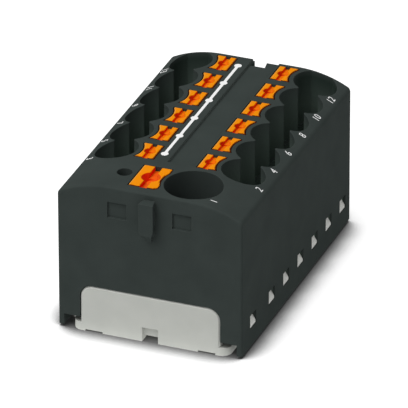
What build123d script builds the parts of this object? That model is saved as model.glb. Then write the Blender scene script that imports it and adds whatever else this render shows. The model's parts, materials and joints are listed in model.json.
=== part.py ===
from build123d import *
import os

os.makedirs("parts", exist_ok=True)

# Push-in power distribution block. All sizes are in millimetres.
# X runs across the block, Y along it with the feed end at -Y, and Z points up.
# The origin lies under the middle of the housing, in the plane that the base stands on.

# Housing shell
body_width = 28.6
body_length = 45.3
body_lift = 0.45
crown_height = 24.45
crown_flat = 12.4
shoulder_drop = 2.12
shoulder_round = 0.9
end_round = 0.35
side_wall = 0.85
end_wall = 1.25

# Rows of small conductor pockets, which run from the feed bay to the back
pitch = 5.96
feed_bay_length = 9.22
rear_margin = 0.32
pocket_inset = 4.45
pocket_overlap = 0.27
pocket_floor_z = 16.0
pocket_end_wall = 0.5
cusp_round = 0.22
funnel_ledge = 0.7
throat_radius = 1.95

# Clamp chambers below the pockets
chamber_roof_z = 13.4
chamber_rib = 1.9
chamber_set_in = 0.6

# Small push buttons
button_width = 3.1
button_spacing = 1.56
button_set_in = 6.5
button_offset_y = 0.2
button_proud = 0.05
button_pocket_wall = 0.72
button_clearance = 0.1
button_edge = 0.14
button_travel = 1.5
stop_gap = 0.1
slot_set_in = 1.37
slot_width = 0.8
slot_depth = 0.45
cone_top_radius = 0.9
cone_low_radius = 0.42
cone_depth = 0.62
foot_width = 2.4
foot_side_gap = 0.33
hook_reach = 0.45
hook_lead = 0.15
hook_side_gap = 0.83
hook_height = 0.95

# Feed terminal
feed_inset = 4.95
feed_pocket_x = 4.95
feed_pocket_radius = 4.35
feed_floor_z = 18.5
feed_throat_radius = 2.9
feed_throat_z = 15.6
feed_roof_z = 14.6
feed_chamber_set_in = 0.55
feed_chamber_reach = 4.05
feed_chamber_length = 5.8
feed_button_set_in = 8.9
feed_button_width = 4.45
feed_button_length = 6.55
feed_button_corner = 0.5
feed_pocket_wall = 0.5
feed_travel = 1.8
feed_slot_set_in = 2.3
feed_slot_width = 1.15
feed_slot_depth = 0.75
feed_cone_top_radius = 1.45
feed_cone_low_radius = 0.7
feed_cone_depth = 1.0
feed_foot_width = 3.4
feed_foot_side_gap = 0.6

# Test socket beside the feed button
test_set_in = 1.85
test_inset = 5.1
test_radius = 1.15
test_depth_z = 15.2
probe_radius = 0.7

# Marker channel along the crown
marker_left_x = -1.2
marker_button_gap = 0.3
marker_depth = 0.42
marker_inset = 10.25

# Joining rib on the front, joining slot at the back, recesses beside the rib
rib_reach = 1.5
rib_front_half = 1.12
rib_root_half = 0.85
rib_set_down = 1.05
rib_straight_length = 4.4
rib_taper_length = 2.4
rib_tip_half = 0.25
slot_clearance = 0.1
recess_gap = 2.43
recess_width = 2.95
recess_set_down = 2.45
recess_height = 2.55
recess_depth = 0.3

# Base cover
plate_inset = 3.45
plate_height = 7.5
plate_corner = 1.9
plate_recess = 0.05
plate_bevel = 0.25
cover_clearance = 0.08
tray_inset = 2.1
tray_corner = 1.5
tray_floor = 1.0
tray_rim_height = 1.25
tray_rim_width = 0.9
post_width = 0.85
post_opening_z = 2.2
key_width = 2.5
key_height = 2.3
key_depth = 0.7
key_channel_height = 0.75
key_channel_length = 3.2
relief_inset = 0.7
relief_width = 2.75
relief_height = 0.25
relief_length = 1.6
bearer_thickness = 0.9

# Snap windows and arms
feed_window_inset = 4.55
window_length = 2.5
window_low_z = 3.3
window_height = 2.2
arm_space = 1.45
arm_space_top_z = 5.8
arm_root_overlap = 0.5
arm_root_top_z = 2.6
arm_thickness = 0.8
arm_gap = 0.25
barb_set_back = 0.1
barb_land = 0.4
barb_neck = 0.15
arm_top_gap = 0.25
snap_clearance = 0.05
arm_side_clearance = 0.1

# Busbar
bar_thickness = 0.8
bar_under_z = 3.4
bar_clearance = 0.05
bar_bend = 1.0
bar_bend_gap = 0.2
tab_wall_gap = 0.1
tab_side_gap = 0.23
tab_top_z = 11.2
feed_tab_side_gap = 0.4
feed_tab_top_z = 12.0
test_land_reach = 1.4

# Clamp springs: tail on the busbar, back, bow under the button, leg to the tab
spring_thickness = 0.3
spring_side_gap = 0.33
spring_gap = 0.1
spring_drop = 1.15
spring_back_gap = 0.4
spring_tail_inset = 0.25
spring_bow_inset = 3.25
spring_tip_gap = 0.3
spring_tip_z = 6.9
spring_bends = [1.2, 1.5, 1.6]
feed_spring_thickness = 0.5
feed_spring_side_gap = 0.4
feed_spring_back_gap = 0.75
feed_spring_tail_reach = 1.95
feed_spring_bow_inset = 3.45
feed_spring_tip_gap = 0.55
feed_spring_tip_z = 7.2
feed_spring_bends = [1.6, 2.0, 2.2]

# Housing sizes that follow from the ones above
half_width = body_width / 2
half_length = body_length / 2
inner_x = half_width - side_wall
inner_end_y = half_length - end_wall
shoulder_z = crown_height - shoulder_drop
cut_over = 2.0
above = crown_height + cut_over
near = 0.01

# Rows: as many terminals as the length holds behind the feed bay
terminals_per_row = int((body_length - feed_bay_length - rear_margin) / pitch + near)
first_terminal_y = -half_length + feed_bay_length + pitch / 2
terminal_ys = [first_terminal_y + pitch * k for k in range(terminals_per_row)]
pocket_x = half_width - pocket_inset
pocket_radius = pitch / 2 + pocket_overlap
funnel_mouth_radius = pocket_radius - funnel_ledge

# Small buttons and the chambers under them
button_inner_x = pocket_x - button_set_in
button_length = pitch - button_spacing
button_arc = pocket_radius + button_pocket_wall
button_top_z = crown_height + button_proud
slot_x = button_inner_x + slot_set_in
chamber_inner_x = button_inner_x - chamber_set_in
chamber_outer_x = inner_x - arm_space
chamber_length = pitch - chamber_rib
shoulder_stop_z = chamber_roof_z + stop_gap + button_travel
marker_right_x = button_inner_x - marker_button_gap
marker_front_y = -half_length + marker_inset

# Feed terminal and test socket
feed_y = -half_length + feed_inset
feed_button_inner_x = feed_pocket_x - feed_button_set_in
feed_button_arc = feed_pocket_radius + feed_pocket_wall
feed_slot_x = feed_button_inner_x + feed_slot_set_in
feed_chamber_inner_x = feed_button_inner_x - feed_chamber_set_in
feed_chamber_outer_x = feed_pocket_x + feed_chamber_reach
feed_stop_z = feed_roof_z + stop_gap + feed_travel
test_x = feed_button_inner_x - test_set_in
test_y = -half_length + test_inset

# Joining rib and recesses
rib_top_z = crown_height - rib_set_down
rib_straight_z = rib_top_z - rib_straight_length
rib_tip_z = rib_straight_z - rib_taper_length
recess_inner_x = rib_front_half + recess_gap
recess_top_z = crown_height - recess_set_down

# Base cover and its snap arms
plate_half_width = half_width - plate_inset
plate_thickness = end_wall - plate_recess
tray_half_width = half_width - tray_inset
relief_outer_x = plate_half_width - relief_inset
window_ys = [-half_length + feed_window_inset] + terminal_ys
arm_root_x = tray_half_width - arm_root_overlap
arm_outer_x = inner_x - arm_gap
arm_inner_x = arm_outer_x - arm_thickness
barb_outer_x = half_width - barb_set_back
barb_neck_x = arm_outer_x + barb_neck

# Busbar and springs
bar_top_z = bar_under_z + bar_thickness
bar_mid_z = bar_under_z + bar_thickness / 2
cavity_top_z = bar_top_z + bar_clearance
tab_outer_x = chamber_outer_x - tab_wall_gap
tab_width = chamber_length - 2 * tab_side_gap
feed_tab_outer_x = feed_chamber_outer_x - tab_wall_gap
feed_tab_width = feed_chamber_length - 2 * feed_tab_side_gap
bar_spine_half = tab_outer_x - bar_thickness - bar_bend - bar_bend_gap
test_land_x = test_x - test_land_reach
spring_width = chamber_length - 2 * spring_side_gap
spring_top_z = chamber_roof_z - spring_drop
foot_z = spring_top_z + spring_gap
feed_spring_width = feed_chamber_length - 2 * feed_spring_side_gap
feed_spring_top_z = feed_roof_z - spring_drop
feed_foot_z = feed_spring_top_z + spring_gap


def box_at(x_low, x_high, y_low, y_high, z_low, z_high, mode):
    """A box between two corners, joined to or cut from the part being built."""
    with Locations(((x_low + x_high) / 2, (y_low + y_high) / 2, (z_low + z_high) / 2)):
        Box(abs(x_high - x_low), y_high - y_low, z_high - z_low, mode=mode)


def button_outline(side, y, grow):
    """Plan of a small button: a rectangle hollowed on the side of its pocket."""
    with Locations((side * (button_inner_x + button_width / 2), y + button_offset_y)):
        Rectangle(button_width + 2 * grow, button_length + 2 * grow)
    with Locations((side * pocket_x, y)):
        Circle(button_arc - grow, mode=Mode.SUBTRACT)


def feed_button_outline(grow):
    """Plan of the feed button, with one cut corner and the funnel's arc taken out."""
    left = feed_button_inner_x - grow
    right = feed_button_inner_x + feed_button_width + grow
    front = feed_y - feed_button_length / 2 - grow
    back = feed_y + feed_button_length / 2 + grow
    cut = feed_button_corner
    Polygon(
        (left, front), (right - cut, front), (right, front + cut), (right, back), (left, back), align=None
    )
    with Locations((feed_pocket_x, feed_y)):
        Circle(feed_button_arc - grow, mode=Mode.SUBTRACT)


def cut_driver_slot(x, y, length, width, depth, low_radius, top_radius, cone_depth):
    """A driver slot from end to end of a button, with a deeper cone in the middle."""
    with Locations((x, y, button_top_z - depth / 2)):
        Box(width, length, depth, mode=Mode.SUBTRACT)
    with Locations((x, y, button_top_z - cone_depth / 2)):
        Cone(low_radius, top_radius, cone_depth, mode=Mode.SUBTRACT)


def make_hook(side, inner_x, y, low_z):
    """The wedge on a button's inner face that keeps it from lifting out of its well."""
    with BuildPart() as hook:
        with BuildSketch(Plane.XZ.offset(-y)):
            Polygon(
                (side * (inner_x - hook_reach), low_z + hook_height),
                (side * (inner_x - hook_reach), low_z + hook_height / 2),
                (side * (inner_x - hook_lead), low_z),
                (side * (inner_x + hook_reach), low_z),
                (side * (inner_x + hook_reach), low_z + hook_height),
                align=None,
            )
        extrude(amount=chamber_length / 2 - hook_side_gap, both=True)
    return hook.part


def make_strip(points, bends, thickness, width, y):
    """A strip of even thickness, bent along a path across the block and centred at y."""
    with BuildPart() as strip:
        with BuildSketch(Plane.XZ.offset(-y)):
            with BuildLine():
                FilletPolyline(*points, radius=bends)
            trace(line_width=thickness)
        extrude(amount=width / 2, both=True)
    return strip.part


# Housing, one moulding open at the underside
with BuildPart() as housing:
    # Crowned block: a flat crown with an arc down to each side wall
    with BuildSketch(Plane.XZ) as section:
        with BuildLine():
            Line((-half_width, body_lift), (half_width, body_lift))
            Line((half_width, body_lift), (half_width, shoulder_z))
            TangentArc((crown_flat / 2, crown_height), (half_width, shoulder_z), tangent=(1, 0))
            Line((-crown_flat / 2, crown_height), (crown_flat / 2, crown_height))
            TangentArc((-crown_flat / 2, crown_height), (-half_width, shoulder_z), tangent=(-1, 0))
            Line((-half_width, shoulder_z), (-half_width, body_lift))
        make_face()
        shoulders = section.vertices().filter_by(lambda v: abs(v.Y - shoulder_z) < near)
        fillet(shoulders, shoulder_round)
    extrude(amount=half_length, both=True)
    ends = housing.faces().filter_by(lambda f: abs(f.center().Y) > half_length - near)
    rims = ends.edges().filter_by(lambda e: e.center().Z > body_lift + near)
    fillet(rims, end_round)

    # Conductor pockets, where neighbouring wells run together between rounded cusps
    for side in (-1, 1):
        with BuildSketch(Plane.XY.offset(pocket_floor_z)) as pockets:
            with Locations(*[(side * pocket_x, y) for y in terminal_ys]):
                Circle(pocket_radius)
            cusps = pockets.vertices().filter_by(lambda v: abs(abs(v.X) - pocket_x) < pocket_radius / 2)
            fillet(cusps, cusp_round)
            rear = half_length - pocket_end_wall
            with Locations((side * pocket_x, rear + pocket_radius)):
                Rectangle(4 * pocket_radius, 2 * pocket_radius, mode=Mode.SUBTRACT)
        extrude(amount=above - pocket_floor_z, mode=Mode.SUBTRACT)

    # Funnel under each pocket, down to its clamp chamber
    for side in (-1, 1):
        for y in terminal_ys:
            funnel_depth = pocket_floor_z - chamber_roof_z
            with Locations((side * pocket_x, y, pocket_floor_z - funnel_depth / 2)):
                Cone(throat_radius, funnel_mouth_radius, funnel_depth, mode=Mode.SUBTRACT)

            # Clamp chamber, open below to the busbar
            x_low, x_high = sorted((side * chamber_inner_x, side * chamber_outer_x))
            y_low, y_high = y - chamber_length / 2, y + chamber_length / 2
            box_at(x_low, x_high, y_low, y_high, body_lift, chamber_roof_z, Mode.SUBTRACT)

            # Button well
            with BuildSketch(Plane.XY.offset(chamber_roof_z)):
                button_outline(side, y, button_clearance)
            extrude(amount=above - chamber_roof_z, mode=Mode.SUBTRACT)

    # Feed terminal: pocket, funnel, throat, clamp chamber and button well
    with Locations((feed_pocket_x, feed_y, (feed_floor_z + above) / 2)):
        Cylinder(feed_pocket_radius, above - feed_floor_z, mode=Mode.SUBTRACT)
    with Locations((feed_pocket_x, feed_y, (feed_floor_z + feed_throat_z) / 2)):
        Cone(feed_throat_radius, feed_pocket_radius, feed_floor_z - feed_throat_z, mode=Mode.SUBTRACT)
    with Locations((feed_pocket_x, feed_y, (feed_throat_z + feed_roof_z) / 2)):
        Cylinder(feed_throat_radius, feed_throat_z - feed_roof_z, mode=Mode.SUBTRACT)
    y_low, y_high = feed_y - feed_chamber_length / 2, feed_y + feed_chamber_length / 2
    box_at(
        feed_chamber_inner_x, feed_chamber_outer_x, y_low, y_high, body_lift, feed_roof_z, Mode.SUBTRACT
    )
    with BuildSketch(Plane.XY.offset(feed_roof_z)):
        feed_button_outline(button_clearance)
    extrude(amount=above - feed_roof_z, mode=Mode.SUBTRACT)

    # Test socket, stepped down to a probe hole over the busbar
    with Locations((test_x, test_y, (test_depth_z + above) / 2)):
        Cylinder(test_radius, above - test_depth_z, mode=Mode.SUBTRACT)
    with Locations((test_x, test_y, (test_depth_z + body_lift) / 2)):
        Cylinder(probe_radius, test_depth_z - body_lift, mode=Mode.SUBTRACT)

    # Marker channel, open at the back
    marker_floor_z = crown_height - marker_depth
    box_at(
        marker_left_x, marker_right_x, marker_front_y, half_length, marker_floor_z, above, Mode.SUBTRACT
    )

    # Joining slot at the back, wider inside than at its mouth
    slot_depth_y = half_length - rib_reach - slot_clearance
    slot_mouth_half = rib_root_half + slot_clearance
    slot_floor_half = rib_front_half + slot_clearance
    with BuildSketch(Plane.XY.offset(rib_tip_z - slot_clearance)):
        Polygon(
            (-slot_mouth_half, half_length),
            (-slot_floor_half, slot_depth_y),
            (slot_floor_half, slot_depth_y),
            (slot_mouth_half, half_length),
            align=None,
        )
    extrude(amount=above - rib_tip_z, mode=Mode.SUBTRACT)

    # Joining rib on the front, drawn to a point at its lower end
    with BuildSketch(Plane.XY.offset(rib_tip_z)):
        Polygon(
            (-rib_root_half, -half_length),
            (rib_root_half, -half_length),
            (rib_front_half, -half_length - rib_reach),
            (-rib_front_half, -half_length - rib_reach),
            align=None,
        )
    extrude(amount=rib_top_z - rib_tip_z)
    for side in (-1, 1):
        with BuildSketch(Plane.XZ.offset(half_length)):
            Polygon(
                (side * rib_front_half, rib_straight_z),
                (side * rib_tip_half, rib_tip_z),
                (side * 2 * rib_front_half, rib_tip_z),
                (side * 2 * rib_front_half, rib_straight_z),
                align=None,
            )
        extrude(amount=rib_reach, mode=Mode.SUBTRACT)
    with BuildSketch(Plane.YZ):
        Polygon(
            (-half_length - rib_reach, rib_straight_z - rib_reach / 2),
            (-half_length, rib_tip_z),
            (-half_length - rib_reach, rib_tip_z),
            align=None,
        )
    extrude(amount=rib_front_half, both=True, mode=Mode.SUBTRACT)

    # Shallow recesses on each side of the rib
    for side in (-1, 1):
        x_low, x_high = sorted((side * recess_inner_x, side * (recess_inner_x + recess_width)))
        box_at(
            x_low, x_high, -half_length, -half_length + recess_depth,
            recess_top_z - recess_height, recess_top_z, Mode.SUBTRACT,
        )

    # Room for the base cover, its busbar and its snap arms
    box_at(-inner_x, inner_x, -inner_end_y, inner_end_y, body_lift, cavity_top_z, Mode.SUBTRACT)
    for side in (-1, 1):
        x_low, x_high = sorted((side * chamber_outer_x, side * inner_x))
        box_at(x_low, x_high, -inner_end_y, inner_end_y, body_lift, arm_space_top_z, Mode.SUBTRACT)
        for y in window_ys:
            x_low, x_high = sorted((side * inner_x, side * half_width))
            y_low, y_high = y - window_length / 2, y + window_length / 2
            box_at(
                x_low, x_high, y_low, y_high, window_low_z, window_low_z + window_height, Mode.SUBTRACT
            )

    # End openings: a tall one for the cover's plate and a low one between the corner posts
    for end in (-1, 1):
        opening_x = plate_half_width + cover_clearance
        opening_z = plate_height + cover_clearance
        with BuildSketch(Plane.XZ.offset(-end * inner_end_y)) as opening:
            with Locations((0, (opening_z + body_lift) / 2)):
                Rectangle(2 * opening_x, opening_z - body_lift)
            fillet(opening.vertices().group_by(Axis.Y)[-1], plate_corner + cover_clearance)
            post_x = half_width - post_width
            with Locations((0, (post_opening_z + body_lift) / 2)):
                Rectangle(2 * post_x, post_opening_z - body_lift)
        extrude(amount=-end * end_wall, mode=Mode.SUBTRACT)

housing.part.label = "housing"
export_step(housing.part, "parts/housing.step")


# Base cover: tray, end plates, bearers under the busbar and snap arms
with BuildPart() as base_cover:
    with BuildSketch() as tray:
        Rectangle(2 * tray_half_width, 2 * half_length)
        fillet(tray.vertices(), tray_corner)
    extrude(amount=tray_rim_height)
    box_at(
        -tray_half_width + tray_rim_width, tray_half_width - tray_rim_width,
        -inner_end_y + tray_rim_width, inner_end_y - tray_rim_width,
        tray_floor, tray_rim_height, Mode.SUBTRACT,
    )

    # End plates that fill the housing's end openings
    for end in (-1, 1):
        with BuildSketch(Plane.XZ.offset(-end * half_length)) as plate:
            with Locations((0, plate_height / 2)):
                Rectangle(2 * plate_half_width, plate_height)
            fillet(plate.vertices().group_by(Axis.Y)[-1], plate_corner)
        extrude(amount=end * plate_thickness)
        outer = base_cover.faces().filter_by(Axis.Y).filter_by(
            lambda f: abs(f.center().Y - end * half_length) < near
        )
        bevel = outer.edges().filter_by(lambda e: e.center().Z > plate_height - plate_corner)
        chamfer(bevel, plate_bevel)

    # Keyway in each end, with its channel along the underside, and shallow foot reliefs
    for end in (-1, 1):
        y_face = end * half_length
        y_low, y_high = sorted((y_face, y_face - end * key_depth))
        box_at(-key_width / 2, key_width / 2, y_low, y_high, 0, key_height, Mode.SUBTRACT)
        y_low, y_high = sorted((y_face, y_face - end * key_channel_length))
        box_at(-key_width / 2, key_width / 2, y_low, y_high, 0, key_channel_height, Mode.SUBTRACT)
        y_low, y_high = sorted((y_face, y_face - end * relief_length))
        for side in (-1, 1):
            x_low, x_high = sorted((side * (relief_outer_x - relief_width), side * relief_outer_x))
            box_at(x_low, x_high, y_low, y_high, 0, relief_height, Mode.SUBTRACT)

    # Bearers that hold the busbar up against the housing's ribs
    for y in [first_terminal_y - pitch / 2] + [y + pitch / 2 for y in terminal_ys[:-1]]:
        box_at(
            -bar_spine_half, bar_spine_half, y - bearer_thickness / 2, y + bearer_thickness / 2,
            tray_floor, bar_under_z - bar_clearance, Mode.ADD,
        )

    # Snap arms with outward barbs, one for each window
    barb_z = window_low_z + snap_clearance
    arm_top_z = window_low_z + window_height - arm_top_gap
    for side in (-1, 1):
        for y in window_ys:
            with BuildSketch(Plane.XZ.offset(-y)):
                Polygon(
                    (side * arm_root_x, 0),
                    (side * arm_outer_x, 0),
                    (side * arm_outer_x, barb_z),
                    (side * barb_outer_x, barb_z),
                    (side * barb_outer_x, barb_z + barb_land),
                    (side * barb_neck_x, arm_top_z),
                    (side * arm_inner_x, arm_top_z),
                    (side * arm_inner_x, arm_root_top_z),
                    (side * arm_root_x, tray_rim_height),
                    align=None,
                )
            extrude(amount=window_length / 2 - arm_side_clearance, both=True)

base_cover.part.label = "base_cover"
export_step(base_cover.part, "parts/base_cover.step")


# Busbar: one stamped strip with a tab bent up in every clamp chamber
with BuildPart() as busbar:
    spine_front = terminal_ys[0] - tab_width / 2
    spine_back = terminal_ys[-1] + tab_width / 2
    box_at(-bar_spine_half, bar_spine_half, spine_front, spine_back, bar_under_z, bar_top_z, Mode.ADD)
    tab_mid_x = tab_outer_x - bar_thickness / 2
    for y in terminal_ys:
        path = [
            (-tab_mid_x, tab_top_z), (-tab_mid_x, bar_mid_z), (tab_mid_x, bar_mid_z), (tab_mid_x, tab_top_z)
        ]
        add(make_strip(path, bar_bend, bar_thickness, tab_width, y))

    # Feed tab and the land under the test socket
    feed_front = feed_y - feed_tab_width / 2
    feed_tab_mid_x = feed_tab_outer_x - bar_thickness / 2
    land_right = feed_tab_outer_x - bar_thickness - bar_bend
    box_at(test_land_x, land_right, feed_front, spine_front, bar_under_z, bar_top_z, Mode.ADD)
    path = [(test_land_x, bar_mid_z), (feed_tab_mid_x, bar_mid_z), (feed_tab_mid_x, feed_tab_top_z)]
    add(make_strip(path, bar_bend, bar_thickness, feed_tab_width, feed_y))

busbar.part.label = "busbar"
export_step(busbar.part, "parts/busbar.step")


def make_button(side, y):
    """A small button: shaft, foot, retaining hook and a driver slot with a coned middle."""
    with BuildPart() as button:
        with BuildSketch(Plane.XY.offset(shoulder_stop_z)):
            button_outline(side, y, 0)
        extrude(amount=button_top_z - shoulder_stop_z)
        chamfer(button.faces().sort_by(Axis.Z)[-1].edges(), button_edge)

        # Foot that bears on the spring, and the hook that stops the button lifting out
        foot_x = side * (button_inner_x + button_width / 2 - hook_reach / 2)
        with Locations((foot_x, y, (foot_z + shoulder_stop_z) / 2)):
            Box(foot_width, chamber_length - 2 * foot_side_gap, shoulder_stop_z - foot_z)
        add(make_hook(side, button_inner_x, y, foot_z))

        cut_driver_slot(
            side * slot_x, y + button_offset_y, button_length, slot_width, slot_depth,
            cone_low_radius, cone_top_radius, cone_depth,
        )
    return button.part


def make_spring(side, y):
    """A small clamp spring, one bent strip."""
    low = bar_top_z + spring_thickness / 2
    high = spring_top_z - spring_thickness / 2
    back_x = chamber_inner_x + spring_back_gap
    tip_x = tab_outer_x - bar_thickness - spring_tip_gap
    path = [
        (side * (pocket_x - spring_tail_inset), low),
        (side * back_x, low),
        (side * back_x, high),
        (side * (pocket_x - spring_bow_inset), high),
        (side * tip_x, spring_tip_z),
    ]
    return make_strip(path, spring_bends, spring_thickness, spring_width, y)


# Small buttons and their springs, numbered from the feed end
for side, row in ((-1, "left"), (1, "right")):
    for number, y in enumerate(terminal_ys, start=1):
        button = make_button(side, y)
        button.label = f"button_{row}_{number}"
        export_step(button, f"parts/button_{row}_{number}.step")
        spring = make_spring(side, y)
        spring.label = f"clamp_spring_{row}_{number}"
        export_step(spring, f"parts/clamp_spring_{row}_{number}.step")


# Feed button
with BuildPart() as feed_button:
    with BuildSketch(Plane.XY.offset(feed_stop_z)):
        feed_button_outline(0)
    extrude(amount=button_top_z - feed_stop_z)
    chamfer(feed_button.faces().sort_by(Axis.Z)[-1].edges(), button_edge)
    foot_x = feed_button_inner_x + feed_foot_width / 2
    with Locations((foot_x, feed_y, (feed_foot_z + feed_stop_z) / 2)):
        Box(feed_foot_width, feed_chamber_length - 2 * feed_foot_side_gap, feed_stop_z - feed_foot_z)
    add(make_hook(1, feed_button_inner_x, feed_y, feed_foot_z))
    cut_driver_slot(
        feed_slot_x, feed_y, feed_button_length, feed_slot_width, feed_slot_depth,
        feed_cone_low_radius, feed_cone_top_radius, feed_cone_depth,
    )

feed_button.part.label = "feed_button"
export_step(feed_button.part, "parts/feed_button.step")


# Feed clamp spring
low = bar_top_z + feed_spring_thickness / 2
high = feed_spring_top_z - feed_spring_thickness / 2
back_x = feed_chamber_inner_x + feed_spring_back_gap
tip_x = feed_tab_outer_x - bar_thickness - feed_spring_tip_gap
feed_spring_path = [
    (feed_pocket_x + feed_spring_tail_reach, low),
    (back_x, low),
    (back_x, high),
    (feed_pocket_x - feed_spring_bow_inset, high),
    (tip_x, feed_spring_tip_z),
]
feed_spring = make_strip(
    feed_spring_path, feed_spring_bends, feed_spring_thickness, feed_spring_width, feed_y
)
feed_spring.label = "feed_clamp_spring"
export_step(feed_spring, "parts/feed_clamp_spring.step")
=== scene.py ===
import json
import math

import bmesh
import bpy
import numpy as np
from mathutils import Matrix, Vector


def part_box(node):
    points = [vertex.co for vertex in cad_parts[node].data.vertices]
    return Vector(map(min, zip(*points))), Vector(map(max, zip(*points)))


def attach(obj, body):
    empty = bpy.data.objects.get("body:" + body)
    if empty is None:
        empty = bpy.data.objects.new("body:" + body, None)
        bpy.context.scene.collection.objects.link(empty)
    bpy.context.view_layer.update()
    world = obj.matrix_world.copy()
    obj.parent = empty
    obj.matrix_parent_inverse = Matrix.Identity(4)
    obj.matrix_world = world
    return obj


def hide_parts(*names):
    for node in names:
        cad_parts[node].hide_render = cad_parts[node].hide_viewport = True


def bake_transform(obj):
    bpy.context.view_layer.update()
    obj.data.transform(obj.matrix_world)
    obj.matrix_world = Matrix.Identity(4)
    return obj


# Push-in power distribution block, in metres and in the row frame: X across the block, Y from the
# feed end to the back, Z up from the surface that the base stands on.

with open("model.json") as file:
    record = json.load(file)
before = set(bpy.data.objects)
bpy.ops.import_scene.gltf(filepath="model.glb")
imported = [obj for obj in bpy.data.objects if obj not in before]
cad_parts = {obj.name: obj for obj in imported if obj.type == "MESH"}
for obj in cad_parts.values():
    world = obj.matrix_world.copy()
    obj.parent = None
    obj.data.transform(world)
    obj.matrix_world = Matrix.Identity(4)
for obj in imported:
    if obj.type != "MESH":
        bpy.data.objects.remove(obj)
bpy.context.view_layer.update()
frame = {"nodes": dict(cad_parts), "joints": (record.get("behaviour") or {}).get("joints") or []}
nodes = frame["nodes"]
MM = 0.001

# Crown of the housing: flat in the middle, then an arc down to each shoulder
CROWN_FLAT_HALF = 6.2 * MM
CROWN_HEIGHT = 24.45 * MM
CROWN_ARC = 16.534 * MM

# Outer faces of the housing, and how far inside them a pocket's wall may begin
SIDE_X = 14.3 * MM
END_Y = 22.65 * MM
WALL_INSET = 0.25 * MM

# Front end of the small pockets, depth at which their painted light is palest, where their far
# walls begin, how far on those the painted shade is darkest and how soon under the crown it shows,
# reach of the marker channel, whose step gets painted light, on each side of the middle and
# downwards, and the plane past which the base's barbs get painted light
TERMINALS_Y = -13.3 * MM
POCKET_PAINTED_LIGHT_REACH = 5.5 * MM
FAR_WALLS_Y = 18.6 * MM
FAR_WALLS_REACH = 2.0 * MM
FAR_WALLS_GAIN = 6.0
CHANNEL_REACH = 3.2 * MM
CHANNEL_DEEP = 0.55 * MM
BARB_X = 13.0 * MM

# Rows of terminals
ROW_STEP = 5.96 * MM
FIRST_ROW_Y = -10.45 * MM
ROWS = 6

# Push buttons: level of their tops, level at which the painted shade in a slot is reddest, and the
# shares of the depth between the two at which the painted shade on the rim and the slot end
BUTTON_TOP = 24.5 * MM
BUTTON_DEEP = 23.6 * MM
RIM_SHARE = 0.4
SLOT_END_SHARE = 1.2

# Driver slots: middle of the first one, half the step to the next one, half the slot's width and
# length, radius of its cone, and how far across the cone's edges may show. The feed button's slot
# has no next one, so its step is longer than the block.
SMALL_SLOT = {
    "Slot_X": 4.72 * MM, "Slot_Y": -10.25 * MM, "Half_Step": 2.98 * MM, "Half_Width": 0.42 * MM,
    "Half_Length": 2.1 * MM, "Cone_Radius": 0.92 * MM, "Edge_Reach": 1.0 * MM,
}
FEED_SLOT = {
    "Slot_X": 1.65 * MM, "Slot_Y": -17.7 * MM, "Half_Step": 1.0, "Half_Width": 0.6 * MM,
    "Half_Length": 3.15 * MM, "Cone_Radius": 1.46 * MM, "Edge_Reach": 1.55 * MM,
}

# Painted light and shade on a button's edges and walls: the way that the faces with the darkest
# painted shade look, how much a wall's lean that way and its uprightness count, how soon below the
# top a wall's painted shade shows, the least weighted lean at which an edge shows, and the weights
# for edges with a painted highlight, which lean the other way, and for edges with painted shade
PAINTED_SHADE_WAY = (0.92, -0.39, 0.0)
LEAN_WEIGHT = 1.3
UPRIGHT_WEIGHT = 0.5
WALL_GAIN = 12.0
EDGE_START = 0.4
PAINTED_EDGE_HIGHLIGHT_GAIN = -8.0
PAINTED_EDGE_SHADE_GAIN = 6.0

# Colours of the buttons: their own orange, a painted highlight and painted shade for the edges,
# painted shade for the rim and painted shade for the slot's walls
ORANGE = (0.95, 0.295, 0.002)
PAINTED_EDGE_HIGHLIGHT = (0.86, 0.40, 0.07)
PAINTED_EDGE_SHADE = (0.16, 0.030, 0.002)
PAINTED_RIM_SHADE = (0.10, 0.014, 0.003)
PAINTED_WALL_SHADE = (0.92, 0.018, 0.001)

# White print: height over the crown and depth in it, the line with the share of its width left at
# its ends, its dots, and the numbers
INK_THICKNESS = 0.016 * MM
INK_SINK = 0.02 * MM
LINE_X = -2.45 * MM
LINE_HALF = 0.23 * MM
LINE_END_SHARE = 0.25
DOT_RADIUS = 0.56 * MM
DOT_STATIONS = 25
DOT_SHIFT_Y = 0.2 * MM
NUMBER_SIZE = 1.5 * MM
NUMBER_BOLD = -0.002 * MM
NUMBER_SIDE_X = 13.25 * MM
NUMBER_SHIFT_Y = -2.4 * MM
FEED_NUMBER_X = 9.3 * MM
FEED_NUMBER_Y = -20.75 * MM

# Leaf springs, measured from the back of the bow and from the lowest point. A share of half the
# thickness is cut off each corner of the strip.
SPRING_STATIONS = 72
BEND_STATIONS = 16
CORNER_SHARE = 0.5
SMALL_LEAF = {
    "thickness": 0.3 * MM, "tail": 6.45 * MM, "bow": 3.45 * MM, "tip": 7.65 * MM, "tip_z": 2.7 * MM,
    "bends": (1.2 * MM, 1.5 * MM, 1.6 * MM),
}
FEED_LEAF = {
    "thickness": 0.5 * MM, "tail": 10.65 * MM, "bow": 5.25 * MM, "tip": 11.3 * MM, "tip_z": 3.0 * MM,
    "bends": (1.6 * MM, 2.0 * MM, 2.2 * MM),
}

# Camera
AZIMUTH = math.radians(21.2)
ELEVATION = math.radians(28.35)
ROLL = math.radians(-0.13)
DISTANCE = 1.085
AIM = Vector((0, 0, 0.011))
AIM_RIGHT = -0.31 * MM
AIM_UP = 0.41 * MM
LENS = 651.3

# Studio light: the sky's level, how much more comes from one side and from above, and the least
SKY_LEVEL = 0.34
SKY_LEAN = (0.07, 0.0, 0.085)
SKY_LEAST = 0.05

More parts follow.
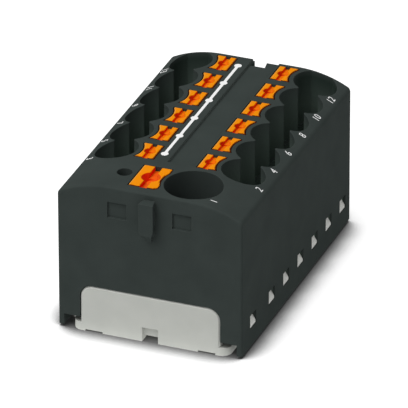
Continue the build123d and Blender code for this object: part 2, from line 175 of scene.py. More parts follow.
# Floor: its radius and the corners of its rim, how far round the block its shade reaches, how open
# to the sky it is where the shade is full and where it ends, tones of the shade from full to thin,
# the plain tone that hidden rays meet, and what it gives off: in the open to the rays that see the
# background, and in the shade to hidden rays
FLOOR_RADIUS = 1.6
FLOOR_STATIONS = 96
FLOOR_SHADE_REACH = 6.5 * MM
SHADE_FULL = 0.46
SHADE_END = 0.9
SHADE_STOPS = [(0.0, (0.15, 0.15, 0.15)), (0.7, (0.42, 0.42, 0.42))]
FLOOR_PLAIN = (0.75, 0.75, 0.75)
FLOOR_WHITE = 0.85
FLOOR_BOUNCE = 0.5


# Meshes

def mesh_piece(name, vertices, faces, material, body="root", smooth=True):
    """A piece from an array of corners and a list of faces, riding on a body."""
    mesh = bpy.data.meshes.new(name)
    mesh.from_pydata(np.asarray(vertices, float).tolist(), [], faces)
    shell = bmesh.new()
    shell.from_mesh(mesh)
    bmesh.ops.recalc_face_normals(shell, faces=shell.faces)
    shell.to_mesh(mesh)
    shell.free()
    mesh.materials.append(material)
    mesh.shade_smooth() if smooth else mesh.shade_flat()
    mesh.update()
    piece = bpy.data.objects.new(name, mesh)
    bpy.context.scene.collection.objects.link(piece)
    if body:
        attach(piece, body)
    return piece


def crown_z(x):
    """Height of the crown: level up to the flat's edge, then the arc's root of R squared minus
    the squared distance past that edge."""
    past = np.maximum(np.abs(x) - CROWN_FLAT_HALF, 0)
    return CROWN_HEIGHT - CROWN_ARC + np.sqrt(CROWN_ARC ** 2 - past ** 2)


def crown_normal(x):
    """Unit normal of the crown in the X-Z plane, pointing away from the arc's centre."""
    past = np.sign(x) * np.maximum(np.abs(x) - CROWN_FLAT_HALF, 0)
    return past / CROWN_ARC, np.sqrt(1 - (past / CROWN_ARC) ** 2)


def lay_on_crown(x, y, lift):
    """Points over (x, y) on the crown, moved off it along its normal by lift."""
    nx, nz = crown_normal(x)
    return np.stack((x + nx * lift, y + np.zeros_like(x), crown_z(x) + nz * lift), -1)


def ink_outline(name, x, y, material):
    """A flat patch of ink inside a closed outline: an upper ring lifted off the crown, a lower
    ring sunk into it, a wall between them and one face on top."""
    upper = lay_on_crown(x, y, INK_THICKNESS)
    lower = lay_on_crown(x, y, -INK_SINK)
    count = len(x)
    start = np.arange(count)
    after = (start + 1) % count
    wall = np.stack((start + count, after + count, after, start), -1).tolist()
    faces = [start.tolist(), (start[::-1] + count).tolist()] + wall
    return mesh_piece(name, np.concatenate((upper, lower)), faces, material, smooth=False)


def printed_line(material):
    """The line that joins the terminals' dots. Its outline runs up one side and down the other,
    and bulges to the dot's circle wherever it passes a dot: half width is the greater of the
    line's half and the root of the dot's radius squared minus the distance squared."""
    dots_y = FIRST_ROW_Y + DOT_SHIFT_Y + ROW_STEP * np.arange(ROWS)
    turn = np.linspace(-math.pi / 2, math.pi / 2, DOT_STATIONS)
    near_dot = dots_y[:, None] + DOT_RADIUS * np.sin(turn)[None, :]
    y = np.sort(near_dot.ravel())
    gap = np.abs(y[:, None] - dots_y[None, :]).min(1)
    bulge = np.sqrt(np.maximum(DOT_RADIUS ** 2 - gap ** 2, 0))
    half = np.maximum(bulge, LINE_HALF)
    half[[0, -1]] = LINE_HALF * LINE_END_SHARE
    x = np.concatenate((LINE_X + half, (LINE_X - half)[::-1]))
    return ink_outline("printed_line", x, np.concatenate((y, y[::-1])), material)


def printed_number(text, x, y, side, material):
    """A plain number lying on the crown, read from its own side of the block. The letter's
    height runs towards the middle of the block and its width along it."""
    curve = bpy.data.curves.new("number_" + text, "FONT")
    curve.body = text
    curve.align_x = "CENTER"
    curve.align_y = "CENTER"
    curve.size = NUMBER_SIZE
    curve.offset = NUMBER_BOLD
    curve.extrude = (INK_THICKNESS + INK_SINK) / 2
    curve.resolution_u = 6
    drawn = bpy.data.objects.new("number_drawing_" + text, curve)
    bpy.context.scene.collection.objects.link(drawn)
    bpy.context.view_layer.update()
    mesh = bpy.data.meshes.new_from_object(drawn.evaluated_get(bpy.context.evaluated_depsgraph_get()))
    flat = np.empty(len(mesh.vertices) * 3)
    mesh.vertices.foreach_get("co", flat)
    flat = flat.reshape(-1, 3)
    faces = [list(polygon.vertices) for polygon in mesh.polygons]
    bpy.data.objects.remove(drawn)
    bpy.data.curves.remove(curve)
    bpy.data.meshes.remove(mesh)
    place_x = x - side * flat[:, 1]
    place_y = y + side * flat[:, 0]
    nx, nz = crown_normal(place_x)
    lift = flat[:, 2] + (INK_THICKNESS - INK_SINK) / 2
    points = np.stack((place_x + nx * lift, place_y, crown_z(place_x) + nz * lift), -1)
    return mesh_piece("number_" + text, points, faces, material, smooth=False)


def rounded_path(corners, bends, count):
    """Points evenly spaced along a path of straight runs joined by tangent arcs, with the unit
    normal to the left of each. An arc's tangent length is its radius times the tangent of half
    the turn."""
    corners = np.asarray(corners, float)
    pieces = [corners[:1]]
    for before, corner, after, radius in zip(corners[:-2], corners[1:-1], corners[2:], bends):
        arriving = (corner - before) / np.linalg.norm(corner - before)
        leaving = (after - corner) / np.linalg.norm(after - corner)
        sweep = math.atan2(np.cross(arriving, leaving), arriving @ leaving)
        reach = radius * math.tan(abs(sweep) / 2)
        turn_side = math.copysign(1, sweep)
        centre = corner - arriving * reach + turn_side * radius * np.array((-arriving[1], arriving[0]))
        angle = np.linspace(0, sweep, BEND_STATIONS)[:, None]
        spoke = corner - arriving * reach - centre
        swung = np.hstack((
            spoke[0] * np.cos(angle) - spoke[1] * np.sin(angle),
            spoke[0] * np.sin(angle) + spoke[1] * np.cos(angle),
        ))
        pieces.append(centre + swung)
    pieces.append(corners[-1:])
    points = np.concatenate(pieces)
    along = np.concatenate(([0], np.cumsum(np.linalg.norm(np.diff(points, axis=0), axis=1))))
    even = np.linspace(0, along[-1], count)
    path = np.stack((np.interp(even, along, points[:, 0]), np.interp(even, along, points[:, 1])), -1)
    tangent = np.gradient(path, axis=0)
    tangent /= np.linalg.norm(tangent, axis=1)[:, None]
    return path, np.stack((-tangent[:, 1], tangent[:, 0]), -1)


def leaf_spring(node, leaf, material):
    """A clamp spring bent from strip, in place of its plain solid. Its section is a rectangle
    with cut corners: each ring of eight points is the path's point plus up to half the thickness
    along the normal and up to half the width along Y, drawn in at the corners."""
    low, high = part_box(node)
    side = 1 if low.x + high.x > 0 else -1
    half_t = leaf["thickness"] / 2
    half_w = (high.y - low.y) / 2
    base, top = low.z + half_t, high.z - half_t
    tip = (leaf["tip"], low.z + leaf["tip_z"])
    corners = [(leaf["tail"], base), (0, base), (0, top), (leaf["bow"], top), tip]
    path, normal = rounded_path(corners, leaf["bends"], SPRING_STATIONS)
    slim_t, slim_w = half_t * CORNER_SHARE, half_w - half_t * CORNER_SHARE
    thick = np.array((-slim_t, -half_t, -half_t, -slim_t, slim_t, half_t, half_t, slim_t))
    wide = np.array((-half_w, -slim_w, slim_w, half_w, half_w, slim_w, -slim_w, -half_w))
    back_x = (low.x if side > 0 else high.x) + side * half_t
    x = back_x + side * (path[:, 0:1] + normal[:, 0:1] * thick)
    z = path[:, 1:2] + normal[:, 1:2] * thick
    y = (low.y + high.y) / 2 + np.broadcast_to(wide, x.shape)
    ring = len(thick)
    i, j = np.meshgrid(np.arange(SPRING_STATIONS - 1), np.arange(ring), indexing="ij")
    k = (j + 1) % ring
    quads = np.stack((i * ring + j, i * ring + k, (i + 1) * ring + k, (i + 1) * ring + j), -1)
    caps = [list(range(ring)), list(range((SPRING_STATIONS - 1) * ring, SPRING_STATIONS * ring))]
    points = np.stack((x, y, z), -1).reshape(-1, 3)
    faces = quads.reshape(-1, 4).tolist() + caps
    piece = mesh_piece(node + "_leaf", points, faces, material, body=None)
    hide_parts(node)
    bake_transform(piece)
    return piece


# Shader groups

def new_group(name, inputs, outputs):
    """An empty shader group with float inputs given as (name, value) and the outputs' kinds."""
    group = bpy.data.node_groups.new(name, "ShaderNodeTree")
    for label, value in inputs:
        socket = group.interface.new_socket(name=label, in_out="INPUT", socket_type="NodeSocketFloat")
        socket.default_value = value
    for label, kind in outputs:
        group.interface.new_socket(name=label, in_out="OUTPUT", socket_type=kind)
    inside = group.nodes.new("NodeGroupInput")
    outside = group.nodes.new("NodeGroupOutput")
    return group, inside, outside


def math_node(tree, operation, first, second=None, clamp=False):
    """A Math node whose inputs are sockets or numbers."""
    node = tree.nodes.new("ShaderNodeMath")
    node.operation = operation
    node.use_clamp = clamp
    for place, value in zip(node.inputs, (first, second)):
        if value is None:
            continue
        if isinstance(value, (int, float)):
            place.default_value = value
        else:
            tree.links.new(value, place)
    return node.outputs[0]


def leaning(tree, normal):
    """How far a normal leans the way of the painted shade: their dot product, negative where it
    leans off.
    """
    dot = tree.nodes.new("ShaderNodeVectorMath")
    dot.operation = "DOT_PRODUCT"
    dot.inputs[1].default_value = PAINTED_SHADE_WAY
    tree.links.new(normal, dot.inputs[0])
    return dot.outputs["Value"]


def make_grain_group():
    """Moulded grain: a fine noise for the bump and a broad one for uneven tone."""
    group, inside, outside = new_group(
        "moulded_grain",
        [("Fine Scale", 4000), ("Broad Scale", 160)],
        [("Height", "NodeSocketFloat"), ("Tone", "NodeSocketFloat")],
    )
    place = group.nodes.new("ShaderNodeTexCoord")
    fine = group.nodes.new("ShaderNodeTexNoise")
    fine.inputs["Detail"].default_value = 4
    fine.inputs["Roughness"].default_value = 0.6
    broad = group.nodes.new("ShaderNodeTexNoise")
    broad.inputs["Detail"].default_value = 3
    for noise, scale in ((fine, "Fine Scale"), (broad, "Broad Scale")):
        group.links.new(place.outputs["Object"], noise.inputs["Vector"])
        group.links.new(inside.outputs[scale], noise.inputs["Scale"])
    group.links.new(fine.outputs["Fac"], outside.inputs["Height"])
    group.links.new(broad.outputs["Fac"], outside.inputs["Tone"])
    return group


def make_edge_group():
    """Edge mask: how far the normal of a softened corner leans from the face's own normal, and
    that softened normal itself."""
    group, inside, outside = new_group(
        "soft_edge",
        [("Radius", 0.1 * MM), ("Gain", 2.2)],
        [("Mask", "NodeSocketFloat"), ("Normal", "NodeSocketVector")],
    )
    bevel = group.nodes.new("ShaderNodeBevel")
    bevel.samples = 6
    group.links.new(inside.outputs["Radius"], bevel.inputs["Radius"])
    facing = group.nodes.new("ShaderNodeNewGeometry")
    dot = group.nodes.new("ShaderNodeVectorMath")
    dot.operation = "DOT_PRODUCT"
    group.links.new(bevel.outputs["Normal"], dot.inputs[0])
    group.links.new(facing.outputs["Normal"], dot.inputs[1])
    lean = math_node(group, "SUBTRACT", 1.0, dot.outputs["Value"])
    mask = math_node(group, "MULTIPLY", lean, inside.outputs["Gain"], clamp=True)
    group.links.new(mask, outside.inputs["Mask"])
    group.links.new(bevel.outputs["Normal"], outside.inputs["Normal"])
    return group


def make_slot_painted_shade_group():
    """Painted shade in and round the driver slot. Depth and Wall are for the driver slot and its
    cone: how far below the button's top a point lies, as 1 at the deep end, which deepens the
    slot's painted shade, and how strong the painted shade on its wall is, which is the greater of
    its weighted lean the way of the painted shade and its weighted uprightness. Upright is that
    uprightness, 1 minus the size of the normal's Z. Rim is the band just below the top outside the
    slot, which gets painted shade, and Flank is the top and that band away from the slot's edges,
    where the painted edge highlight and shade lie."""
    group, inside, outside = new_group(
        "driver_slot_painted_shade",
        [("Top", BUTTON_TOP), ("Deep", BUTTON_DEEP)] + [
            (label.replace("_", " "), value) for label, value in SMALL_SLOT.items()
        ],
        [(label, "NodeSocketFloat") for label in ("Depth", "Wall", "Upright", "Rim", "Flank")],
    )
    given = inside.outputs
    place = group.nodes.new("ShaderNodeTexCoord")
    split = group.nodes.new("ShaderNodeSeparateXYZ")
    group.links.new(place.outputs["Object"], split.inputs["Vector"])
    level = group.nodes.new("ShaderNodeMapRange")
    level.clamp = False
    group.links.new(split.outputs["Z"], level.inputs["Value"])
    group.links.new(given["Top"], level.inputs["From Min"])
    group.links.new(given["Deep"], level.inputs["From Max"])
    depth = level.outputs["Result"]
    below = math_node(group, "MULTIPLY", depth, WALL_GAIN, clamp=True)
    shallow = math_node(group, "LESS_THAN", depth, RIM_SHARE)
    facing = group.nodes.new("ShaderNodeSeparateXYZ")
    group.links.new(place.outputs["Normal"], facing.inputs["Vector"])
    upright = math_node(group, "SUBTRACT", 1.0, math_node(group, "ABSOLUTE", facing.outputs["Z"]))

    side = math_node(group, "ABSOLUTE", split.outputs["X"])
    across = math_node(group, "ABSOLUTE", math_node(group, "SUBTRACT", side, given["Slot X"]))
    past_middle = math_node(group, "SUBTRACT", split.outputs["Y"], given["Slot Y"])
    along = math_node(group, "PINGPONG", past_middle, given["Half Step"])
    between = math_node(group, "LESS_THAN", along, given["Half Length"])
    narrow = math_node(group, "LESS_THAN", across, given["Half Width"])
    in_slot = math_node(group, "MULTIPLY", narrow, between)
    across_squared = math_node(group, "MULTIPLY", across, across)
    along_squared = math_node(group, "MULTIPLY", along, along)
    squares = math_node(group, "ADD", across_squared, along_squared)
    in_cone = math_node(group, "LESS_THAN", math_node(group, "SQRT", squares), given["Cone Radius"])
    high = math_node(group, "LESS_THAN", depth, SLOT_END_SHARE)
    within = math_node(group, "MULTIPLY", math_node(group, "MAXIMUM", in_slot, in_cone), high)
    close = math_node(group, "LESS_THAN", across, given["Edge Reach"])
    beside = math_node(group, "MULTIPLY", close, between)

    turned = math_node(group, "MULTIPLY", leaning(group, place.outputs["Normal"]), LEAN_WEIGHT)
    dark = math_node(group, "MAXIMUM", turned, math_node(group, "MULTIPLY", upright, UPRIGHT_WEIGHT))
    wall = math_node(group, "MULTIPLY", math_node(group, "MULTIPLY", dark, below), within, clamp=True)
    outer = math_node(group, "MULTIPLY", math_node(group, "SUBTRACT", 1.0, within), shallow)
    flank = math_node(group, "MULTIPLY", math_node(group, "SUBTRACT", 1.0, beside), shallow)
    group.links.new(math_node(group, "MULTIPLY", depth, within), outside.inputs["Depth"])
    group.links.new(wall, outside.inputs["Wall"])
    group.links.new(upright, outside.inputs["Upright"])
    group.links.new(math_node(group, "MULTIPLY", below, outer), outside.inputs["Rim"])
    group.links.new(flank, outside.inputs["Flank"])
    return group


def make_pocket_painted_light_and_shade_group():
    """Masks for painted light in the pockets and painted shade on their far walls: how far a point
    lies under the crown, whose height is the level's minus the arc's radius plus the root of the
    radius squared minus the squared distance past the flat, for points well inside the four outer
    faces and behind the feed pocket; the same for upright walls alone; the low walls of the marker
    channel; and the walls at the far end of the rows."""
    group, inside, outside = new_group(
        "pocket_painted_light_and_shade",
        [("Reach", POCKET_PAINTED_LIGHT_REACH)],
        [(label, "NodeSocketFloat") for label in ("Depth", "Wall", "Channel", "Far")],
    )
    place = group.nodes.new("ShaderNodeTexCoord")
    split = group.nodes.new("ShaderNodeSeparateXYZ")
    group.links.new(place.outputs["Object"], split.inputs["Vector"])
    across = math_node(group, "ABSOLUTE", split.outputs["X"])
    along = math_node(group, "ABSOLUTE", split.outputs["Y"])
    past = math_node(group, "MAXIMUM", math_node(group, "SUBTRACT", across, CROWN_FLAT_HALF), 0.0)
    left = math_node(group, "SUBTRACT", CROWN_ARC ** 2, math_node(group, "MULTIPLY", past, past))
    crown = math_node(group, "ADD", math_node(group, "SQRT", left), CROWN_HEIGHT - CROWN_ARC)
    under = math_node(group, "SUBTRACT", crown, split.outputs["Z"])
    depth = math_node(group, "DIVIDE", under, inside.outputs["Reach"], clamp=True)
    for face, span in ((SIDE_X, across), (END_Y, along)):
        room = math_node(group, "SUBTRACT", face - WALL_INSET, span)
        within = math_node(group, "DIVIDE", room, WALL_INSET, clamp=True)
        depth = math_node(group, "MULTIPLY", depth, within)
    beyond = math_node(group, "SUBTRACT", split.outputs["Y"], TERMINALS_Y)
    behind_feed = math_node(group, "DIVIDE", beyond, WALL_INSET, clamp=True)
    depth = math_node(group, "MULTIPLY", depth, behind_feed)
    facing = group.nodes.new("ShaderNodeSeparateXYZ")
    group.links.new(place.outputs["Normal"], facing.inputs["Vector"])
    upright = math_node(group, "SUBTRACT", 1.0, math_node(group, "ABSOLUTE", facing.outputs["Z"]))
    wall = math_node(group, "MULTIPLY", depth, upright, clamp=True)
    group.links.new(depth, outside.inputs["Depth"])
    group.links.new(wall, outside.inputs["Wall"])
    ending = math_node(group, "SUBTRACT", split.outputs["Y"], FAR_WALLS_Y)
    far = math_node(group, "DIVIDE", ending, FAR_WALLS_REACH, clamp=True)
    below = math_node(group, "MULTIPLY", wall, FAR_WALLS_GAIN, clamp=True)
    fading = math_node(group, "SUBTRACT", 1.0, wall)
    shown = math_node(group, "MULTIPLY", math_node(group, "MULTIPLY", far, below), fading)
    group.links.new(shown, outside.inputs["Far"])
    middle = math_node(group, "LESS_THAN", across, CHANNEL_REACH)
    shallow = math_node(group, "LESS_THAN", under, CHANNEL_DEEP)
    step = math_node(group, "MULTIPLY", math_node(group, "MULTIPLY", middle, shallow), upright)
    group.links.new(math_node(group, "MULTIPLY", step, behind_feed), outside.inputs["Channel"])
    return group


grain_group = make_grain_group()
edge_group = make_edge_group()
slot_painted_shade_group = make_slot_painted_shade_group()
pocket_painted_light_and_shade_group = make_pocket_painted_light_and_shade_group()


# Materials

def new_material(name):
    """A material holding only a Principled shader and its output, with its tree and shader."""
    material = bpy.data.materials.new(name)
    material.use_nodes = True
    tree = material.node_tree
    tree.nodes.clear()
    shader = tree.nodes.new("ShaderNodeBsdfPrincipled")
    output = tree.nodes.new("ShaderNodeOutputMaterial")
    tree.links.new(shader.outputs["BSDF"], output.inputs["Surface"])
    return material, tree, shader


def place_group(tree, group, **values):
    """A group in a material, with its inputs set."""
    node = tree.nodes.new("ShaderNodeGroup")
    node.node_tree = group
    for label, value in values.items():
        node.inputs[label.replace("_", " ")].default_value = value
    return node


def ramp(tree, source, stops):
    """A colour ramp fed by a socket, with stops of (place, colour)."""
    node = tree.nodes.new("ShaderNodeValToRGB")
    elements = node.color_ramp.elements
    while len(elements) < len(stops):
        elements.new(0.5)
    for element, (place, colour) in zip(elements, stops):
        element.position = place
        element.color = (*colour, 1)
    tree.links.new(source, node.inputs["Fac"])
    return node.outputs["Color"]


def mix_colour(tree, amount, first, second, blend="MIX"):
    """A Mix node for colours, whose inputs are sockets or plain colours."""
    node = tree.nodes.new("ShaderNodeMix")
    node.data_type = "RGBA"
    node.blend_type = blend
    for label, value in (("Factor_Float", amount), ("A_Color", first), ("B_Color", second)):
        place = next(s for s in node.inputs if s.identifier == label)
        if isinstance(value, bpy.types.NodeSocket):
            tree.links.new(value, place)
        elif isinstance(value, tuple):
            place.default_value = (*value, 1)
        else:
            place.default_value = value
    return next(s for s in node.outputs if s.identifier == "Result_Color")


def grain_bump(tree, shader, height, normal, strength, distance):
    """Bump from a height, over an already softened normal."""
    bump = tree.nodes.new("ShaderNodeBump")
    bump.inputs["Strength"].default_value = strength
    bump.inputs["Distance"].default_value = distance
    tree.links.new(height, bump.inputs["Height"])
    tree.links.new(normal, bump.inputs["Normal"])
    tree.links.new(bump.outputs["Normal"], shader.inputs["Normal"])


def varied_roughness(tree, shader, value, low, high):
    """Roughness spread between two ends by a value that varies over the surface."""
    spread = tree.nodes.new("ShaderNodeMapRange")
    spread.inputs["To Min"].default_value = low
    spread.inputs["To Max"].default_value = high
    tree.links.new(value, spread.inputs["Value"])
    tree.links.new(spread.outputs["Result"], shader.inputs["Roughness"])


def moulded_plastic(name, dark, light, edge, rough, specular, grain, radius, pocket=None, barb=None):
    """Matt moulded plastic: two close tones, corners a little lighter as a painted highlight, fine
    spark-eroded grain.
    pocket gives the painted light deep in the pockets, on their walls and in the marker channel, and
    the painted shade on the rows' far walls, and barb the painted light on the ends of the snap arms."""
    material, tree, shader = new_material(name)
    grains = place_group(tree, grain_group, Fine_Scale=grain, Broad_Scale=220)
    corner = place_group(tree, edge_group, Radius=radius, Gain=2.2)
    tone = ramp(tree, grains.outputs["Tone"], [(0.3, dark), (0.7, light)])
    # Corners a little lighter: a painted highlight along the edges
    colour = mix_colour(tree, corner.outputs["Mask"], tone, edge)
    # Painted light deep in the pockets, on their walls and on the marker channel's step, and painted
    # shade on the rows' far walls
    if pocket:
        pockets = place_group(tree, pocket_painted_light_and_shade_group, Reach=POCKET_PAINTED_LIGHT_REACH)
        for output, tone in zip(("Depth", "Wall", "Channel", "Far"), pocket):
            colour = mix_colour(tree, pockets.outputs[output], colour, tone)
    # Painted light on the ends of the snap arms past BARB_X
    if barb:
        place = tree.nodes.new("ShaderNodeTexCoord")
        split = tree.nodes.new("ShaderNodeSeparateXYZ")
        tree.links.new(place.outputs["Object"], split.inputs["Vector"])
        across = math_node(tree, "ABSOLUTE", split.outputs["X"])
        colour = mix_colour(tree, math_node(tree, "GREATER_THAN", across, BARB_X), colour, barb)
    tree.links.new(colour, shader.inputs["Base Color"])
    shader.inputs["Specular IOR Level"].default_value = specular
    height = grains.outputs["Height"]
    varied_roughness(tree, shader, height, low=rough - 0.06, high=rough + 0.08)
    grain_bump(tree, shader, height, corner.outputs["Normal"], strength=0.35, distance=0.012 * MM)
    return material


def painted_edge_share(tree, lean, flank, gain):
    """How strongly a painted edge highlight or painted edge shade shows on the flank: its lean times
    the gain, less the least that shows, and never under 0."""
    past = math_node(tree, "SUBTRACT", math_node(tree, "MULTIPLY", lean, gain), EDGE_START)
    return math_node(tree, "MULTIPLY", math_node(tree, "MAXIMUM", past, 0.0), flank, clamp=True)


def button_plastic(name, slot, stops, cone):
    """Orange plastic with painted light and shade: painted shade in its slot that turns redder and
    darker with depth, painted shade on the edges on one side and a painted highlight on the other,
    and painted shade on the rim. slot says where the slot is, stops give the colour from the top down
    to its deepest point, and cone is the painted shade colour of a sloping wall on the shaded side."""
    material, tree, shader = new_material(name)
    grains = place_group(tree, grain_group, Fine_Scale=5200, Broad_Scale=400)
    corner = place_group(tree, edge_group, Radius=0.3 * MM)
    depths = place_group(tree, slot_painted_shade_group, Top=BUTTON_TOP, Deep=BUTTON_DEEP, **slot)
    # Painted shade deepening and reddening down the slot
    level = ramp(tree, depths.outputs["Depth"], stops)
    lean = leaning(tree, corner.outputs["Normal"])
    flank = depths.outputs["Flank"]
    # Painted highlight on edges that lean off the painted shade's way, painted shade on those that lean
    # towards it
    edge_highlighted = mix_colour(tree, painted_edge_share(tree, lean, flank, PAINTED_EDGE_HIGHLIGHT_GAIN), level, PAINTED_EDGE_HIGHLIGHT)
    edge_shaded = mix_colour(tree, painted_edge_share(tree, lean, flank, PAINTED_EDGE_SHADE_GAIN), edge_highlighted, PAINTED_EDGE_SHADE)
    # Painted shade on the rim band just below the top
    rim_shaded = mix_colour(tree, depths.outputs["Rim"], edge_shaded, PAINTED_RIM_SHADE)
    # Painted shade on the walls of the slot and its cone
    red = mix_colour(tree, depths.outputs["Upright"], cone, PAINTED_WALL_SHADE)
    walls = mix_colour(tree, depths.outputs["Wall"], rim_shaded, red)
    tone = ramp(tree, grains.outputs["Tone"], [(0.25, (0.94, 0.94, 0.94)), (0.75, (1.0, 1.0, 1.0))])
    colour = mix_colour(tree, 1.0, walls, tone, "MULTIPLY")
    tree.links.new(colour, shader.inputs["Base Color"])
    shader.inputs["Specular IOR Level"].default_value = 0.012
    height = grains.outputs["Height"]
    varied_roughness(tree, shader, height, low=0.38, high=0.5)
    grain_bump(tree, shader, height, corner.outputs["Normal"], strength=0.25, distance=0.008 * MM)
    return material


def strip_metal(name, dark, light, rough, stretch):
    """Rolled metal strip: fine streaks across the block, with faint cloudy tarnish."""
    material, tree, shader = new_material(name)
    grains = place_group(tree, grain_group, Fine_Scale=2600, Broad_Scale=500)
    place = tree.nodes.new("ShaderNodeTexCoord")
    mapping = tree.nodes.new("ShaderNodeMapping")
    mapping.inputs["Scale"].default_value = stretch
    streaks = tree.nodes.new("ShaderNodeTexNoise")
    streaks.inputs["Scale"].default_value = 1500
    streaks.inputs["Detail"].default_value = 3
    tree.links.new(place.outputs["Object"], mapping.inputs["Vector"])
    tree.links.new(mapping.outputs["Vector"], streaks.inputs["Vector"])
    corner = place_group(tree, edge_group, Radius=0.05 * MM)
    blend = math_node(tree, "MULTIPLY", streaks.outputs["Fac"], grains.outputs["Tone"])
    tree.links.new(ramp(tree, blend, [(0.1, dark), (0.45, light)]), shader.inputs["Base Color"])
    shader.inputs["Metallic"].default_value = 1.0
    height = streaks.outputs["Fac"]
    varied_roughness(tree, shader, height, low=rough - 0.08, high=rough + 0.12)
    grain_bump(tree, shader, height, corner.outputs["Normal"], strength=0.2, distance=0.006 * MM)
    return material


def print_ink(name):
    """White pad-printed ink, with a slightly uneven film."""
    material, tree, shader = new_material(name)
    grains = place_group(tree, grain_group, Fine_Scale=6000, Broad_Scale=900)
    tone = ramp(tree, grains.outputs["Tone"], [(0.3, (0.92, 0.93, 0.92)), (0.6, (0.98, 0.98, 0.98))])
    tree.links.new(tone, shader.inputs["Base Color"])
    shader.inputs["Specular IOR Level"].default_value = 0.3
    height = grains.outputs["Height"]
    varied_roughness(tree, shader, height, low=0.45, high=0.6)
    corner = place_group(tree, edge_group, Radius=0.02 * MM)
    grain_bump(tree, shader, height, corner.outputs["Normal"], strength=0.2, distance=0.004 * MM)
    return material


housing_material = moulded_plastic(
    "housing_polyamide", dark=(0.0412, 0.0510, 0.0478), light=(0.0478, 0.0586, 0.0550),
    # edge: a painted highlight on the corners
    edge=(0.076, 0.090, 0.084), rough=0.66, specular=0.008, grain=3600, radius=0.12 * MM,
    # pocket: painted light deep in the pockets, on their walls and on the channel's step, then painted
    # shade on the far walls
    pocket=((0.052, 0.068, 0.061), (0.100, 0.136, 0.115), (0.11, 0.13, 0.12), (0.024, 0.038, 0.031)),
)
base_material = moulded_plastic(
    "base_polyamide", dark=(0.537, 0.551, 0.514), light=(0.581, 0.593, 0.555),
    # edge: a painted highlight on the corners
    edge=(0.88, 0.89, 0.86), rough=0.55, specular=0.12, grain=4200, radius=0.1 * MM,
    # barb: painted light on the ends of the snap arms
    barb=(0.86, 0.87, 0.83),
)
small_button_material = button_plastic(
    # cone is a painted shade colour, and the stops past the first are painted shade down the slot
    "button_orange", SMALL_SLOT, cone=(0.22, 0.008, 0.001),
    stops=[(0.0, ORANGE), (0.45, (0.94, 0.21, 0.004)), (1.0, (0.90, 0.10, 0.004))],
)
feed_button_material = button_plastic(
    # cone is a painted shade colour, and the stops past the first are painted shade down the slot
    "feed_button_orange", FEED_SLOT, cone=(0.46, 0.012, 0.003),
    stops=[(0.0, ORANGE), (0.06, (0.84, 0.13, 0.010)), (0.9, (0.90, 0.13, 0.008))],
)
copper_material = strip_metal(
    "tinned_strip", dark=(0.42, 0.41, 0.39), light=(0.72, 0.70, 0.66), rough=0.34, stretch=(1, 0.12, 1)
)
spring_material = strip_metal(
    "spring_strip", dark=(0.34, 0.34, 0.34), light=(0.58, 0.58, 0.57), rough=0.3, stretch=(1, 0.1, 1)
)
ink_material = print_ink("white_ink")

for node_name, node in nodes.items():
    if node_name == "housing":
        finish = housing_material
    elif node_name == "base_cover":
        finish = base_material
    elif node_name == "feed_button":
        finish = feed_button_material
    elif "button" in node_name:
        finish = small_button_material
    elif node_name == "busbar":
        finish = copper_material
    else:
        finish = spring_material
    for place in node.material_slots:
        place.material = finish


# Springs and print

for joint in frame["joints"]:
    button = joint["child"]
    if button == "feed_button":
        leaf_spring("feed_clamp_spring", FEED_LEAF, spring_material)
    else:
        leaf_spring(button.replace("button", "clamp_spring"), SMALL_LEAF, spring_material)

printed_line(ink_material)
printed_number("1", FEED_NUMBER_X, FEED_NUMBER_Y, 1, ink_material)
for row in range(ROWS):
    number_y = FIRST_ROW_Y + NUMBER_SHIFT_Y + ROW_STEP * row
    printed_number(str(2 * row + 2), NUMBER_SIDE_X, number_y, 1, ink_material)
    printed_number(str(2 * row + 3), -NUMBER_SIDE_X, number_y, -1, ink_material)


# Floor, world, lamps and camera

def seen_rays(tree):
    """One for the rays that see the background plainly: the camera's, and those off gloss and
    through glass."""
    path = tree.nodes.new("ShaderNodeLightPath").outputs
    direct = math_node(tree, "MAXIMUM", path["Is Camera Ray"], path["Is Transmission Ray"])
    return math_node(tree, "MAXIMUM", direct, path["Is Glossy Ray"])


def pale_floor():
    """A wide disc that the camera sees as white wherever nothing stands close by. Close to the
    block it lights the foot of the walls a little."""
    turn = np.linspace(0, 2 * math.pi, FLOOR_STATIONS, endpoint=False)
    edge = np.stack((FLOOR_RADIUS * np.cos(turn), FLOOR_RADIUS * np.sin(turn), np.zeros_like(turn)), -1)
    mesh = bpy.data.meshes.new("floor")
    mesh.from_pydata(edge.tolist(), [], [list(range(len(turn)))])
    floor = bpy.data.objects.new("floor", mesh)
    bpy.context.scene.collection.objects.link(floor)
    material, tree, shader = new_material("floor_paint")
    shader.inputs["Roughness"].default_value = 0.9
    shader.inputs["Specular IOR Level"].default_value = 0.0
    shader.inputs["Emission Color"].default_value = (1, 1, 1, 1)
    nearby = tree.nodes.new("ShaderNodeAmbientOcclusion")
    nearby.samples = 16
    nearby.inputs["Distance"].default_value = FLOOR_SHADE_REACH
    clear = tree.nodes.new("ShaderNodeMapRange")
    clear.interpolation_type = "SMOOTHSTEP"
    clear.inputs["From Min"].default_value = SHADE_FULL
    clear.inputs["From Max"].default_value = SHADE_END
    tree.links.new(nearby.outputs["AO"], clear.inputs["Value"])
    openness = clear.outputs["Result"]
    shade = ramp(tree, openness, SHADE_STOPS)
    seen = seen_rays(tree)
    tree.links.new(mix_colour(tree, seen, FLOOR_PLAIN, shade), shader.inputs["Base Color"])
    white = math_node(tree, "MULTIPLY", math_node(tree, "MULTIPLY", openness, FLOOR_WHITE), seen)
    hidden = math_node(tree, "MULTIPLY", math_node(tree, "SUBTRACT", 1.0, seen), FLOOR_BOUNCE)
    under = math_node(tree, "MULTIPLY", math_node(tree, "SUBTRACT", 1.0, openness), hidden)
    tree.links.new(math_node(tree, "ADD", white, under), shader.inputs["Emission Strength"])
    mesh.materials.append(material)


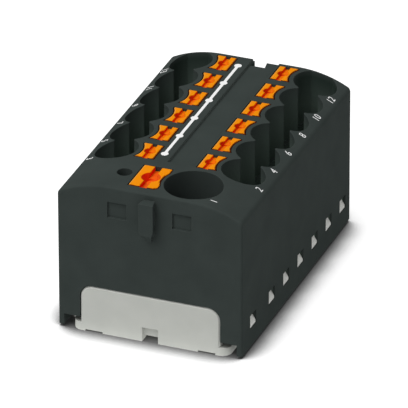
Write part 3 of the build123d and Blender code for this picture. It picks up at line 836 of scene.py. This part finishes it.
def white_world():
    """Soft light from all round, stronger from above and from +X, and plain white wherever the
    camera or a gloss sees past the floor."""
    world = bpy.data.worlds.new("studio")
    world.use_nodes = True
    bpy.context.scene.world = world
    tree = world.node_tree
    tree.nodes.clear()
    light = tree.nodes.new("ShaderNodeBackground")
    light.inputs["Color"].default_value = (1, 1, 1, 1)
    sky = tree.nodes.new("ShaderNodeTexCoord")
    lean = tree.nodes.new("ShaderNodeVectorMath")
    lean.operation = "DOT_PRODUCT"
    lean.inputs[1].default_value = SKY_LEAN
    tree.links.new(sky.outputs["Generated"], lean.inputs[0])
    level = math_node(tree, "ADD", lean.outputs["Value"], SKY_LEVEL)
    soft = math_node(tree, "MAXIMUM", level, SKY_LEAST)
    strength = tree.nodes.new("ShaderNodeMix")
    tree.links.new(seen_rays(tree), strength.inputs["Factor"])
    tree.links.new(soft, strength.inputs["A"])
    strength.inputs["B"].default_value = 1.0
    tree.links.new(strength.outputs["Result"], light.inputs["Strength"])
    output = tree.nodes.new("ShaderNodeOutputWorld")
    tree.links.new(light.outputs["Background"], output.inputs["Surface"])


def way_to(azimuth, elevation):
    """Unit vector towards an azimuth and elevation in radians: X is the azimuth's sine times the
    elevation's cosine, Y is minus the product of their cosines and Z is the elevation's sine."""
    level = math.cos(elevation)
    return Vector((math.sin(azimuth) * level, -math.cos(azimuth) * level, math.sin(elevation)))


def soft_lamp(name, azimuth, elevation, distance, size, power):
    """A square soft box aimed at the middle of the block, with its angles in degrees."""
    lamp = bpy.data.lights.new(name, "AREA")
    lamp.shape = "SQUARE"
    lamp.size = size
    lamp.energy = power
    holder = bpy.data.objects.new(name, lamp)
    towards = way_to(math.radians(azimuth), math.radians(elevation))
    holder.location = AIM + towards * distance
    holder.rotation_euler = towards.to_track_quat("Z", "Y").to_euler()
    bpy.context.scene.collection.objects.link(holder)


def photo_camera():
    """The photograph's view: looking back along the solved azimuth and elevation."""
    back = way_to(AZIMUTH, ELEVATION)
    right = Vector((math.cos(AZIMUTH), math.sin(AZIMUTH), 0))
    up = back.cross(right)
    rolled_right = right * math.cos(ROLL) + up * math.sin(ROLL)
    rolled_up = up * math.cos(ROLL) - right * math.sin(ROLL)
    camera = bpy.data.cameras.new("camera")
    camera.sensor_width = 36
    camera.lens = LENS
    camera.clip_end = 20
    holder = bpy.data.objects.new("camera", camera)
    place = AIM + right * AIM_RIGHT + up * AIM_UP + back * DISTANCE
    turned = Matrix((rolled_right, rolled_up, back)).transposed().to_4x4()
    holder.matrix_world = Matrix.Translation(place) @ turned
    bpy.context.scene.collection.objects.link(holder)
    bpy.context.scene.camera = holder


pale_floor()
white_world()
soft_lamp("key", azimuth=-34, elevation=60, distance=0.9, size=0.6, power=5.5)
photo_camera()
bpy.context.scene.view_settings.view_transform = "Standard"
